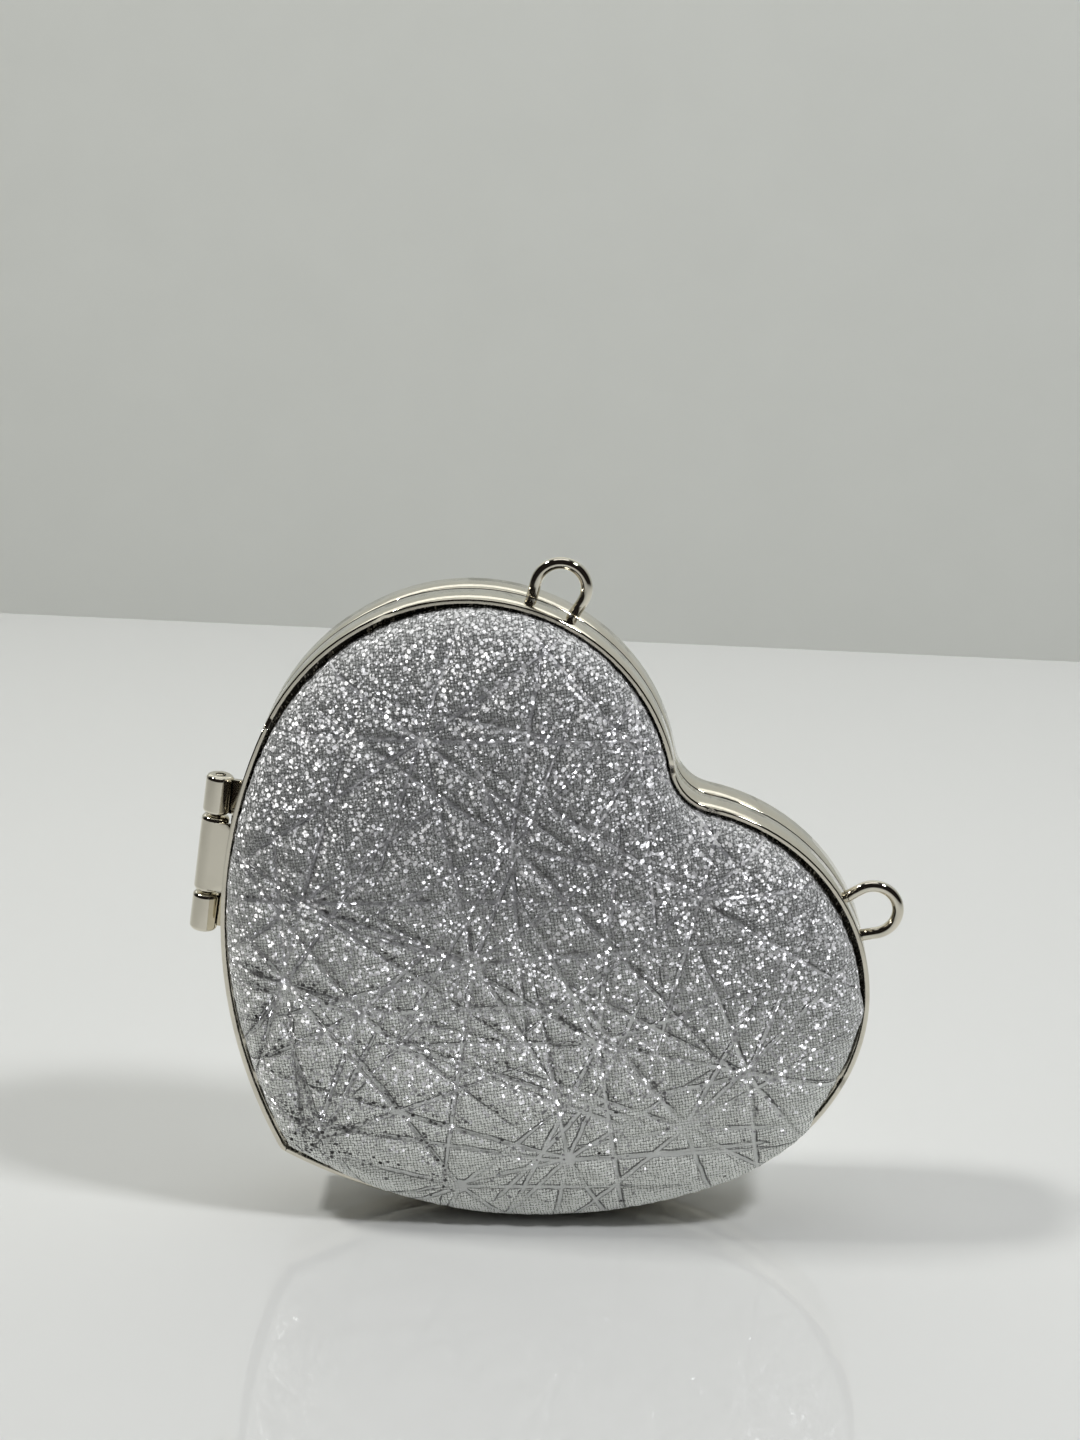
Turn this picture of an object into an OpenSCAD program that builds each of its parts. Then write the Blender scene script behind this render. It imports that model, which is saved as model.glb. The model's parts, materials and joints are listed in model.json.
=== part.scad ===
// Heart shaped evening purse: two polished metal frame halves on a side hinge,
// each closed by a padded, fabric covered shell, with two strap loops and a push catch.
//
// The purse is drawn lying flat: X across the heart, Y up its axis of symmetry, Z out
// of the seam towards the front. stand_up() then turns it onto its lower long side, as
// it stands on a table, with -Y towards the viewer and +Z up.

/* [Heart outline] */
// Width of the heart across both lobes
heart_w = 130; // [110:1:160]
// Radius of a lobe's outer side
lobe_r = 43.9; // [38:0.1:46]
// Radius of the long side that runs down to the tip
side_r = 97.1; // [88:0.1:110]
// Radius of a lobe's crown, which runs into the notch
crown_r = 38.3; // [34:0.1:40]
// Angle below the horizontal where the lobe meets the long side
side_turn = 21.3; // [18:0.1:24]
// Angle above the horizontal where the lobe meets its crown
crown_turn = 20; // [12:1:30]
// Radius that rounds the tip
tip_r = 3; // [2:0.1:5]
// Radius of the notch between the lobes
notch_r = 8.7; // [6:0.1:11]
// Turn that lays the heart on its lower long side
rest_turn = 46.45; // [40:0.05:52]

/* [Frames] */
// Depth of one frame half, from the seam to its lip
frame_d = 7.7; // [7:0.1:10]
// Thickness of the frame's wall
frame_t = 0.9; // [0.7:0.05:1.1]
// Rounding along the wall's two outer edges
edge_r = 0.32; // [0.2:0.02:0.4]
// Gap along the seam between the two closed halves
seam_gap = 0.3; // [0.2:0.02:0.4]
// How far the seat flange reaches in from the wall
seat_w = 3.5; // [3.2:0.1:5]
// Thickness of the seat flange
seat_t = 0.8; // [0.6:0.05:1]
// Depth of the seat flange below the lip
seat_drop = 1.9; // [1.6:0.05:2.1]
// Thickness of the aligning rim on the back frame
rim_t = 0.6; // [0.5:0.05:0.8]
// How far the aligning rim reaches past the seam
rim_rise = 0.9; // [0.6:0.05:1.1]
// Side clearance of the aligning rim inside the front frame
rim_gap = 0.3; // [0.25:0.05:0.4]

/* [Padded panels] */
// Open gap between the frame's wall and the covered panel
panel_gap = 0.5; // [0.3:0.05:0.8]
// Straight side of the panel above the frame's lip
panel_side = 2.4; // [1.8:0.1:3.2]
// Rise of the panel's rounded shoulder
shoulder_rise = 3.2; // [2.5:0.1:4]
// Width of the panel's rounded shoulder
shoulder_w = 4.2; // [3.5:0.1:5.5]
// Rise of the dome from the shoulder to the middle
dome_rise = 3.9; // [2.5:0.1:5]
// Thickness of the cover cloth
cloth_t = 0.4; // [0.3:0.05:0.5]
// Thickness of the padding at the panel's side
pad_side_t = 0.8; // [0.6:0.05:1]
// Thickness of the padding over the dome
pad_t = 2; // [1.5:0.1:2.4]
// Thickness of the moulded shell
shell_t = 1.3; // [1.1:0.05:1.4]

/* [Hinge] */
// Angle of the hinge down the long side, about the side's centre
hinge_turn = 38.3; // [34:0.1:42]
// Length of the hinge
hinge_l = 31; // [27:0.5:35]
// Length of the middle knuckle
knuckle_l = 15; // [12:0.5:17]
// Gap between two knuckles
knuckle_gap = 0.5; // [0.3:0.05:0.6]
// Outer diameter of the knuckles
barrel_d = 5.2; // [4.8:0.1:5.6]
// Rounding of the knuckles' ends
knuckle_round = 0.8; // [0.5:0.05:1]
// Gap between the barrel and the frame's side
barrel_gap = 0.7; // [0.6:0.05:0.9]
// Diameter of the hinge pin
pin_d = 2; // [1.6:0.1:2.4]
// Radial running clearance of the pin in the middle knuckle
pin_fit = 0.05; // [0.02:0.01:0.08]
// Thickness of the hinge leaves
leaf_t = 1; // [0.8:0.05:1.1]

/* [Strap loops] */
// Diameter of the loop's wire
wire_d = 2.2; // [1.8:0.1:2.6]
// Outer width of a loop
loop_w = 11.6; // [10.5:0.1:13]
// Height of the loop's centre above the frame
loop_rise = 3.3; // [3:0.1:4.5]
// Angle of a loop round the lobe's crown
loop_turn = 67; // [60:0.5:74]
// Angle by which each leg of a loop turns in past the half circle
leg_turn = 10; // [0:1:14]

/* [Catch] */
// Angle of the catch down the other long side
catch_turn = 31; // [28:0.5:34]
// Length of the push button's face
button_w = 9; // [8:0.1:10]
// Height of the push button's face
button_h = 2.8; // [2.6:0.05:2.9]
// How far the button stands out of the frame
button_proud = 0.8; // [0.4:0.05:1]
// Travel of the push button
button_travel = 1; // [0.8:0.05:1]
// Clearance around the button and the hook
catch_gap = 0.3; // [0.25:0.01:0.35]
// Thickness of the catch's stamped sheet
sheet_t = 0.6; // [0.5:0.02:0.66]
// Width of the hook
hook_w = 6.6; // [6:0.1:7]
// How deep the hook's tooth catches behind the button's bar
bite = 0.5; // [0.4:0.05:0.6]

/* [Hidden] */

// Colours, as the purse shows them
nickel = [0.78, 0.76, 0.71];
glitter_cloth = [0.62, 0.62, 0.64];
foam_white = [0.93, 0.92, 0.88];
shell_black = [0.16, 0.16, 0.17];
lining_grey = [0.46, 0.45, 0.48];
spring_steel = [0.55, 0.55, 0.57];

// True circles, and the overrun of every cut
$fn = 96;
cut_over = 1;
half_turn = 180;
quarter_turn = 90;

// Centres of the outline's arcs, for the right half of the heart
lobe_c = [heart_w / 2 - lobe_r, 0];
side_c = lobe_c - (side_r - lobe_r) * [cos(side_turn), -sin(side_turn)];
crown_c = lobe_c - (crown_r - lobe_r) * [cos(crown_turn), sin(crown_turn)];
notch_c = [0, crown_c.y + sqrt(pow(crown_r + notch_r, 2) - pow(crown_c.x, 2))];
notch_turn = atan2(notch_c.y - crown_c.y, notch_c.x - crown_c.x);

// The tip's radius shrinks on an inset outline, but never to nothing
least_tip_share = 0.25;
function tip_radius(inset) = max(tip_r - inset, tip_r * least_tip_share);
function tip_centre(inset) =
    [0, side_c.y - sqrt(pow(side_r - inset - tip_radius(inset), 2) - pow(side_c.x, 2))];
function tip_turn(inset) =
    atan2(tip_centre(inset).y - side_c.y, tip_centre(inset).x - side_c.x);

// Points along an arc, without its last point
function arc_points(centre, radius, from, to, steps) =
    [for (i = [0 : steps - 1]) let (t = from + (to - from) * i / steps)
        centre + radius * [cos(t), sin(t)]];

// Steps of each arc of half the outline: tip, side, lobe, crown and notch
tip_steps = 2;
side_steps = 10;
lobe_steps = 5;
crown_steps = 13;
notch_steps = 4;

// Right half of the heart, drawn an inset inside the true outline, tip to notch
function half_outline(inset) = concat(
    arc_points(tip_centre(inset), tip_radius(inset), -quarter_turn, tip_turn(inset), tip_steps),
    arc_points(side_c, side_r - inset, tip_turn(inset), -side_turn, side_steps),
    arc_points(lobe_c, lobe_r - inset, -side_turn, crown_turn, lobe_steps),
    arc_points(crown_c, crown_r - inset, crown_turn, notch_turn, crown_steps),
    arc_points(notch_c, notch_r + inset, notch_turn - half_turn, -quarter_turn, notch_steps),
    [notch_c - [0, notch_r + inset]]
);

// Whole heart: the right half, then the left half back down without its end points
function outline(inset) =
    let (right = half_outline(inset), last = len(right) - 1)
    concat(right, [for (i = [last - 1 : -1 : 1]) [-right[i].x, right[i].y]]);

// Heights above the seam
seam_z = seam_gap / 2;
seat_z = frame_d - seat_drop;
seat_under_z = seat_z - seat_t;
panel_side_z = frame_d + panel_side;

// Insets from the frame's outer face
seat_in = frame_t + seat_w;
panel_in = frame_t + panel_gap;
rim_in = frame_t + rim_gap;
rim_end_in = rim_in + rim_t;
rim_step = seam_z + rim_t;

// The hinge's axis and the loops' plane
barrel_r = barrel_d / 2;
hinge_off = barrel_r + barrel_gap;
wire_r = wire_d / 2;
loop_r = loop_w / 2 - wire_r;
loop_z = -(seam_z + wire_r);

// Where the standing purse touches the table, and its outermost points
function turned(p, turn) = [p.x * cos(turn) - p.y * sin(turn), p.x * sin(turn) + p.y * cos(turn)];
rest_low = turned(side_c, -rest_turn).y - side_r;
hinge_mid = [
    -(side_c.x + (side_r + hinge_off) * cos(hinge_turn)),
    side_c.y - (side_r + hinge_off) * sin(hinge_turn)
];
hinge_lean = rest_turn - hinge_turn;
hinge_left = turned(hinge_mid, -rest_turn).x - (hinge_l / 2 - knuckle_round) * sin(hinge_lean)
    - (barrel_r - knuckle_round) * cos(hinge_lean) - knuckle_round;
loop_mid = crown_c + (crown_r + loop_rise) * [cos(loop_turn), sin(loop_turn)];
loop_right = turned(loop_mid, -rest_turn).x + loop_w / 2;
rest_mid = (hinge_left + loop_right) / 2;

// From the flat drawing to the standing purse
module stand_up() {
    translate([-rest_mid, 0, -rest_low])
        rotate([quarter_turn, 0, 0])
            rotate([0, 0, -rest_turn])
                children();
}

// The back half is the front half seen through the seam
module back_side() {
    mirror([0, 0, 1]) children();
}

// A place on the right long side: X out of the frame, Y along it, Z to the front
module on_side(turn) {
    translate([side_c.x, side_c.y, 0])
        rotate([0, 0, -turn])
            translate([side_r, 0, 0])
                children();
}

// The hinge's place, with Z along its axis and X out of the frame
module at_hinge() {
    mirror([1, 0, 0])
        on_side(hinge_turn)
            translate([hinge_off, 0, 0])
                rotate([quarter_turn, 0, 0])
                    children();
}

// The catch's place: X into the purse, Y along the frame, Z into the back half
module at_catch() {
    on_side(catch_turn)
        mirror([1, 0, 0])
            mirror([0, 0, 1])
                children();
}

// A box between two corners
module block(low, high) {
    translate(low) cube(high - low);
}

// The round body that the long side belongs to, as seen from the catch
side_facets = 720;
module side_round(radius) {
    translate([side_r, 0, -frame_d - cut_over])
        cylinder(r = radius, h = 2 * (frame_d + cut_over), $fn = side_facets);
}

// Rounded corner of a section
corner_steps = 4;
function corner(centre, radius, from, to) =
    [for (i = [0 : corner_steps]) let (t = from + (to - from) * i / corner_steps)
        centre + radius * [cos(t), sin(t)]];

// Section of a frame's wall, as inset and height, with or without the aligning rim. The
// band is bent from arcs: the lobe, tip and notch arcs are a hair thinner all round and
// lap into the thicker side and crown arcs at both ends.
lap_step = 0.01;
lap_l = 0.15;
function wall_section(with_rim, thinner) = concat(
    corner([edge_r, seam_z + edge_r], edge_r - thinner, half_turn + quarter_turn, half_turn),
    corner([edge_r, frame_d - edge_r], edge_r - thinner, half_turn, quarter_turn),
    corner([frame_t - edge_r / 2, frame_d - edge_r / 2], edge_r / 2 - thinner, quarter_turn, 0),
    with_rim ? [
        [frame_t - thinner, rim_step - thinner],
        [rim_end_in - thinner, rim_step - thinner],
        [rim_end_in - thinner, thinner - rim_rise],
        [rim_in + rim_t / 2, thinner - rim_rise],
        [rim_in + thinner, rim_t / 2 - rim_rise],
        [rim_in + thinner, seam_z + thinner]
    ] : [[frame_t - thinner, seam_z + thinner]]
);

// One arc of the frame: the section turned about the arc's own centre
module wall_arc(centre, radius, from, to, with_rim, lapped) {
    lap = lapped ? lap_l / radius * half_turn / PI : 0;
    translate([centre.x, centre.y, 0])
        rotate([0, 0, from - lap])
            rotate_extrude(angle = to - from + 2 * lap)
                polygon([for (p = wall_section(with_rim, lapped ? lap_step : 0))
                    [radius - p.x, p.y]]);
}

// The notch's arc curves the other way, so its section is turned inside out
module notch_arc(with_rim) {
    lap = lap_l / notch_r * half_turn / PI;
    translate([notch_c.x, notch_c.y, 0])
        rotate([0, 0, -notch_turn - lap])
            rotate_extrude(angle = 2 * (notch_turn - quarter_turn + lap))
                polygon([for (p = wall_section(with_rim, lap_step)) [notch_r + p.x, p.y]]);
}

module half_wall(with_rim) {
    wall_arc(side_c, side_r, tip_turn(0), -side_turn, with_rim, false);
    wall_arc(lobe_c, lobe_r, -side_turn, crown_turn, with_rim, true);
    wall_arc(crown_c, crown_r, crown_turn, notch_turn, with_rim, false);
}

// A frame half: eight arcs of wall, and the flange that the covered panel sits on
module frame_half(with_rim) {
    half_wall(with_rim);
    mirror([1, 0, 0]) half_wall(with_rim);
    wall_arc(tip_centre(0), tip_r, -half_turn - tip_turn(0), tip_turn(0), with_rim, true);
    notch_arc(with_rim);
    translate([0, 0, seat_under_z])
        linear_extrude(height = seat_t)
            difference() {
                polygon(outline(frame_t / 2));
                polygon(outline(seat_in));
            }
}

// Layers of a padded panel. Each interface is a copy of the outer surface, set in from
// the side and down from the dome: cloth, padding, shell, lining and the free inside
layer_in = [0, cloth_t, cloth_t + pad_side_t, cloth_t + pad_side_t + shell_t,
    2 * cloth_t + pad_side_t + shell_t];
layer_drop = [0, cloth_t, cloth_t + pad_t, cloth_t + pad_t + shell_t,
    2 * cloth_t + pad_t + shell_t];

// Height of an interface at a distance in from its own foot
dome_reach = lobe_r;
function panel_height(layer, reach) =
    let (s = min(reach / shoulder_w, 1), d = min(reach / dome_reach, 1))
    panel_side_z - layer_drop[layer] + shoulder_rise * sqrt(1 - pow(1 - s, 2))
        + dome_rise * (1 - pow(1 - d, 2));

// Rows of points up the panel, as shares of the shoulder's width, and its middle
fine_row_shares = [0, 0.08, 0.28, 0.6, 1, 2.4, 5.4];
plain_row_shares = [0, 0.25, 0.9, 3.6];
middle_drop_share = 0.28;
panel_mid = [0, -lobe_r * middle_drop_share];

// One interface as rows of points: its foot on the seat, its side, shoulder and dome
function panel_rows(layer, shares) = concat(
    [[for (p = outline(panel_in + layer_in[layer])) [p.x, p.y, seat_z]]],
    [for (share = shares) let (reach = share * shoulder_w)
        [for (p = outline(panel_in + layer_in[layer] + reach))
            [p.x, p.y, panel_height(layer, reach)]]]
);

// Triangles between two rows of points, and a fan that closes a row on one point
function row_faces(low, high, count) = [
    for (i = [0 : count - 1]) let (j = (i + 1) % count)
    for (face = [[low + i, high + i, low + j], [low + j, high + i, high + j]]) face
];
function fan_faces(row, point, count) =
    [for (i = [0 : count - 1]) [row + i, point, row + (i + 1) % count]];
function flipped(faces) = [for (f = faces) [f[2], f[1], f[0]]];
function joined(lists) = [for (list = lists) for (item = list) item];

// A domed skin between two interfaces
module panel_skin(outer_layer, outer_shares, inner_layer, inner_shares) {
    outer = panel_rows(outer_layer, outer_shares);
    inner = panel_rows(inner_layer, inner_shares);
    count = len(outer[0]);
    outer_rows = len(outer);
    inner_rows = len(inner);
    outer_top = outer_rows * count;
    inner_foot = outer_top + 1;
    inner_top = inner_foot + inner_rows * count;
    polyhedron(
        points = concat(
            joined(outer),
            [[panel_mid.x, panel_mid.y, panel_height(outer_layer, dome_reach)]],
            joined(inner),
            [[panel_mid.x, panel_mid.y, panel_height(inner_layer, dome_reach)]]
        ),
        faces = concat(
            joined([for (r = [0 : outer_rows - 2]) row_faces(r * count, (r + 1) * count, count)]),
            fan_faces((outer_rows - 1) * count, outer_top, count),
            joined([for (r = [0 : inner_rows - 2])
                flipped(row_faces(inner_foot + r * count, inner_foot + (r + 1) * count, count))]),
            flipped(fan_faces(inner_foot + (inner_rows - 1) * count, inner_top, count)),
            row_faces(inner_foot, 0, count)
        ),
        convexity = 4
    );
}

module panel_cover() panel_skin(0, fine_row_shares, 1, fine_row_shares);
module panel_padding() panel_skin(1, fine_row_shares, 2, plain_row_shares);
module panel_shell() panel_skin(2, plain_row_shares, 3, plain_row_shares);
module panel_lining() panel_skin(3, plain_row_shares, 4, plain_row_shares);

// A knuckle with rounded ends, its bore left for the caller
module knuckle(low, high) {
    rotate_extrude()
        polygon(concat(
            [[0, low]],
            corner([barrel_r - knuckle_round, low + knuckle_round], knuckle_round, -quarter_turn, 0),
            corner([barrel_r - knuckle_round, high - knuckle_round], knuckle_round, 0, quarter_turn),
            [[0, high]]
        ));
}

// Everything that is inside the long side's outer face, as seen from the hinge
module hinge_side_body() {
    translate([-side_r - hinge_off, cut_over + frame_d, 0])
        rotate([quarter_turn, 0, 0])
            cylinder(r = side_r, h = 2 * (cut_over + frame_d), $fn = side_facets);
}

outer_knuckle_l = (hinge_l - knuckle_l) / 2 - knuckle_gap;
pin_recess = 0.2;
strip_gap = 0.3;

// Back leaf: two outer knuckles on plates that lie just behind the seam, joined by a
// narrow strip behind the middle knuckle
module back_leaf_body() {
    strip_w = barrel_gap - strip_gap;
    knuckle_from = hinge_l / 2 - outer_knuckle_l;
    difference() {
        union() {
            for (side = [0, 1])
                mirror([0, 0, side]) {
                    knuckle(knuckle_from, hinge_l / 2);
                    block(
                        [-hinge_off - leaf_t, -seam_z - leaf_t, knuckle_from],
                        [0, -seam_z, hinge_l / 2 - knuckle_round]
                    );
                }
            block(
                [-hinge_off - leaf_t, -seam_z - leaf_t, -knuckle_from],
                [-hinge_off + strip_w, -seam_z, knuckle_from]
            );
        }
        hinge_side_body();
        translate([0, 0, -hinge_l / 2 - cut_over])
            cylinder(d = pin_d, h = hinge_l + 2 * cut_over);
    }
}

// Front leaf: the middle knuckle, and a plate that leaves its front face on a tangent
module front_leaf_body() {
    difference() {
        union() {
            knuckle(-knuckle_l / 2, knuckle_l / 2);
            block(
                [-hinge_off - leaf_t, barrel_r - leaf_t, -knuckle_l / 2 + knuckle_round],
                [0, barrel_r, knuckle_l / 2 - knuckle_round]
            );
        }
        hinge_side_body();
        translate([0, 0, -knuckle_l / 2 - cut_over])
            cylinder(d = pin_d + 2 * pin_fit, h = knuckle_l + 2 * cut_over);
    }
}

// A strap loop: bent wire whose two legs end on the back frame's outer face
module loop_body() {
    leg_l = loop_rise + wire_d;
    difference() {
        translate([crown_c.x, crown_c.y, loop_z])
            rotate([0, 0, loop_turn])
                translate([crown_r + loop_rise, 0, 0]) {
                    rotate([0, 0, -quarter_turn - leg_turn])
                        rotate_extrude(angle = half_turn + 2 * leg_turn)
                            translate([loop_r, 0])
                                circle(r = wire_r);
                    for (side = [-1, 1])
                        rotate([0, 0, side * (quarter_turn + leg_turn)])
                            translate([loop_r, 0, 0])
                                rotate([-side * quarter_turn, 0, 0])
                                    cylinder(r = wire_r, h = leg_l);
                }
        translate([crown_c.x, crown_c.y, loop_z - wire_d])
            cylinder(r = crown_r, h = 2 * wire_d);
    }
}

// Heights of the catch, from the seam into the back half
plate_z = seam_z + catch_gap;
cavity_z = plate_z + sheet_t;
yoke_z = cavity_z + catch_gap;
yoke_end_z = yoke_z + button_h;
floor_z = yoke_end_z + catch_gap;
bar_h = button_h * 2 / 5;
tooth_z = yoke_z + bar_h + catch_gap;
hook_end_z = yoke_end_z;

// Insets of the catch, from the frame's outer face into the purse
ear_in = frame_t + seam_gap / 4;
ear_end_in = ear_in + sheet_t;
hook_in = ear_end_in + button_travel + catch_gap;
hook_end_in = hook_in + sheet_t;
bar_in = hook_end_in + catch_gap;
bar_end_in = bar_in + sheet_t;
tooth_end_in = bar_in + bite;
back_wall_in = bar_end_in + button_travel + sheet_t;
housing_end_in = back_wall_in + sheet_t;

// Half widths of the catch, along the frame
arm_u = hook_w / 2 + catch_gap;
arm_end_u = arm_u + sheet_t;
ear_u = button_w / 2 + sheet_t;
screw_r = 0.45;
screw_head_r = 0.85;
screw_head_h = 0.35;
boss_r = 2 * screw_r;
boss_u = arm_end_u + catch_gap + boss_r;
cheek_u = boss_u + boss_r / 2;
cheek_end_u = cheek_u + sheet_t;
screw_in = back_wall_in - boss_r / 2;

// Push button: its face in the frame's window, ears that keep it in, and a yoke whose
// bar crosses behind the hook
module button_body() {
    intersection() {
        block(
            [-button_proud - cut_over, -button_w / 2, yoke_z],
            [ear_end_in, button_w / 2, yoke_end_z]
        );
        side_round(side_r + button_proud);
    }
    intersection() {
        block([0, -ear_u, yoke_z], [ear_end_in, ear_u, yoke_end_z]);
        side_round(side_r - ear_in);
    }
    for (side = [0, 1])
        mirror([0, side, 0])
            block([ear_end_in, arm_u, yoke_z], [bar_end_in, arm_end_u, yoke_end_z]);
    block([bar_in, -arm_end_u, yoke_z], [bar_end_in, arm_end_u, yoke_z + bar_h]);
}

// Window for the button in the back frame's wall
module button_window() {
    block(
        [-cut_over, -button_w / 2 - catch_gap / 2, yoke_z - catch_gap / 2],
        [frame_t + cut_over / 2, button_w / 2 + catch_gap / 2, yoke_end_z + catch_gap / 2]
    );
}

// Hook: a foot on the front frame's wall, a bridge over the aligning rim, and a tongue
// with a tooth that reaches into the back half
module hook_body() {
    foot_z = -(seat_under_z - catch_gap);
    bridge_z = -(rim_rise + sheet_t);
    intersection() {
        translate([0, hook_w / 2, 0])
            rotate([quarter_turn, 0, 0])
                linear_extrude(height = hook_w)
                    polygon([
                        [0, foot_z],
                        [frame_t + sheet_t, foot_z],
                        [frame_t + sheet_t, bridge_z - sheet_t],
                        [hook_end_in, bridge_z - sheet_t],
                        [hook_end_in, tooth_z],
                        [tooth_end_in, tooth_z],
                        [tooth_end_in, tooth_z + bite],
                        [hook_end_in, hook_end_z],
                        [hook_in, hook_end_z],
                        [hook_in, bridge_z],
                        [0, bridge_z]
                    ]);
        side_round(side_r - frame_t);
    }
}

// Housing: a stamped tray with two cheeks, a back wall and two screw bosses
module housing_body() {
    intersection() {
        difference() {
            union() {
                block([0, -cheek_end_u, floor_z], [housing_end_in, cheek_end_u, seat_under_z]);
                block([back_wall_in, -cheek_end_u, cavity_z], [housing_end_in, cheek_end_u, floor_z]);
                for (side = [0, 1])
                    mirror([0, side, 0]) {
                        block([0, cheek_u, cavity_z], [housing_end_in, cheek_end_u, floor_z]);
                        translate([screw_in, boss_u, cavity_z])
                            cylinder(r = boss_r, h = floor_z - cavity_z);
                    }
            }
            catch_screw_holes();
        }
        side_round(side_r - frame_t);
    }
}

module catch_screw_holes() {
    for (side = [-1, 1])
        translate([screw_in, side * boss_u, plate_z - cut_over])
            cylinder(r = screw_r, h = cut_over + floor_z - plate_z - sheet_t);
}

// Cover plate over the housing, slotted for the hook
module plate_body() {
    difference() {
        block(
            [rim_end_in + catch_gap, -cheek_end_u, plate_z],
            [housing_end_in, cheek_end_u, cavity_z]
        );
        block(
            [hook_in - catch_gap, -arm_u, plate_z - cut_over],
            [tooth_end_in + catch_gap, arm_u, cavity_z + cut_over]
        );
        catch_screw_holes();
    }
}

module screw_bodies() {
    for (side = [-1, 1])
        translate([screw_in, side * boss_u, 0]) {
            translate([0, 0, plate_z])
                cylinder(r = screw_r, h = floor_z - plate_z - sheet_t);
            translate([0, 0, plate_z - screw_head_h])
                cylinder(r = screw_head_r, h = screw_head_h);
        }
}

// Spring: a bowed strip between the back wall and the button's bar
spring_t = 0.25;
module spring_body() {
    spring_u = arm_u - spring_t;
    sag = back_wall_in - bar_end_in;
    bow_r = (pow(spring_u, 2) + pow(sag, 2)) / (2 * sag);
    intersection() {
        translate([bar_end_in + bow_r, 0, yoke_z])
            difference() {
                cylinder(r = bow_r, h = bar_h);
                translate([0, 0, -cut_over])
                    cylinder(r = bow_r - spring_t, h = bar_h + 2 * cut_over);
            }
        block(
            [bar_end_in, -spring_u - spring_t, yoke_z],
            [back_wall_in, spring_u + spring_t, yoke_end_z]
        );
    }
}

module front_frame() color(nickel) stand_up() frame_half(false);
module front_shell() color(shell_black) stand_up() panel_shell();
module front_padding() color(foam_white) stand_up() panel_padding();
module front_cover() color(glitter_cloth) stand_up() panel_cover();
module front_lining() color(lining_grey) stand_up() panel_lining();
module hinge_front_leaf() color(nickel) stand_up() at_hinge() front_leaf_body();
module catch_hook() color(nickel) stand_up() at_catch() hook_body();

module back_frame() {
    color(nickel)
        stand_up()
            difference() {
                back_side() frame_half(true);
                at_catch() button_window();
            }
}
module back_shell() color(shell_black) stand_up() back_side() panel_shell();
module back_padding() color(foam_white) stand_up() back_side() panel_padding();
module back_cover() color(glitter_cloth) stand_up() back_side() panel_cover();
module back_lining() color(lining_grey) stand_up() back_side() panel_lining();
module hinge_back_leaf() color(nickel) stand_up() at_hinge() back_leaf_body();
module hinge_pin() {
    color(nickel)
        stand_up()
            at_hinge()
                translate([0, 0, pin_recess - hinge_l / 2])
                    cylinder(d = pin_d, h = hinge_l - 2 * pin_recess);
}
module strap_loop_upper() color(nickel) stand_up() mirror([1, 0, 0]) loop_body();
module strap_loop_side() color(nickel) stand_up() loop_body();
module catch_housing() color(nickel) stand_up() at_catch() housing_body();
module catch_plate() color(nickel) stand_up() at_catch() plate_body();
module catch_screws() color(spring_steel) stand_up() at_catch() screw_bodies();
module catch_spring() color(spring_steel) stand_up() at_catch() spring_body();
module push_button() color(nickel) stand_up() at_catch() button_body();

back_frame();
back_shell();
back_padding();
back_cover();
back_lining();
hinge_back_leaf();
hinge_pin();
strap_loop_upper();
strap_loop_side();
catch_housing();
catch_plate();
catch_screws();
catch_spring();
push_button();
front_frame();
front_shell();
front_padding();
front_cover();
front_lining();
hinge_front_leaf();
catch_hook();
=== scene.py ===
# %% [markdown]
# # Heart shaped purse
# A small evening purse: two polished metal frame halves that hinge together, a padded panel of
# glitter cloth in each, two wire loops for a chain and a press catch on the far side. The CAD
# model comes in as a fixed frame, in metres. Each piece that needs finer metal, or that is cloth,
# wadding or board, is made again here in the same place, and stands for its CAD node.

# %% Load the CAD model
import json
import math

import bmesh
import bpy
import numpy as np
from mathutils import Matrix, Vector

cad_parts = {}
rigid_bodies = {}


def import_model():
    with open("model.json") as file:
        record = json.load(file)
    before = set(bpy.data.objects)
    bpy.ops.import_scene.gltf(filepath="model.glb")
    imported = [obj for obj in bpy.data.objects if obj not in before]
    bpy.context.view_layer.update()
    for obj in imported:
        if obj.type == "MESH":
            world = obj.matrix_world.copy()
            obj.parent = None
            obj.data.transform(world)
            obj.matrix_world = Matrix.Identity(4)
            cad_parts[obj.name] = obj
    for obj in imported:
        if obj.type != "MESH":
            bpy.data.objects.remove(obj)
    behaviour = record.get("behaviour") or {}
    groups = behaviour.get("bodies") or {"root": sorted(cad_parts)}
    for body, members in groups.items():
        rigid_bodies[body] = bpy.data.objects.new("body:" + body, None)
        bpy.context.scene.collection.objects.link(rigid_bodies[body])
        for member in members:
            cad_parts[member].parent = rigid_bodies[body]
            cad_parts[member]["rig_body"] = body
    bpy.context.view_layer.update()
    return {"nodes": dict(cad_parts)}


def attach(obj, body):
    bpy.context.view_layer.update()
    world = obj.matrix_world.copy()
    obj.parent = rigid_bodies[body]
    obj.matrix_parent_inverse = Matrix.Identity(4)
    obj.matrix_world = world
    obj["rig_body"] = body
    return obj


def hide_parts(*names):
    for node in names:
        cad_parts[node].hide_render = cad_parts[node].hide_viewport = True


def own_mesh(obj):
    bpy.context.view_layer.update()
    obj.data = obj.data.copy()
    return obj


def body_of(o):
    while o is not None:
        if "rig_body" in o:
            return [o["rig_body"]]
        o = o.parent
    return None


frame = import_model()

MM = 0.001

# %% [markdown]
# ## The camera
# The photograph looks down on the purse from a little above. A long lens keeps the heart's
# proportions, and the place was found by fitting the outline's arcs to the picture. It is made
# first, so that every later piece can be judged from it. The plain view transform keeps the hard
# contrast of the glitter, which a filmic one would soften.

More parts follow.
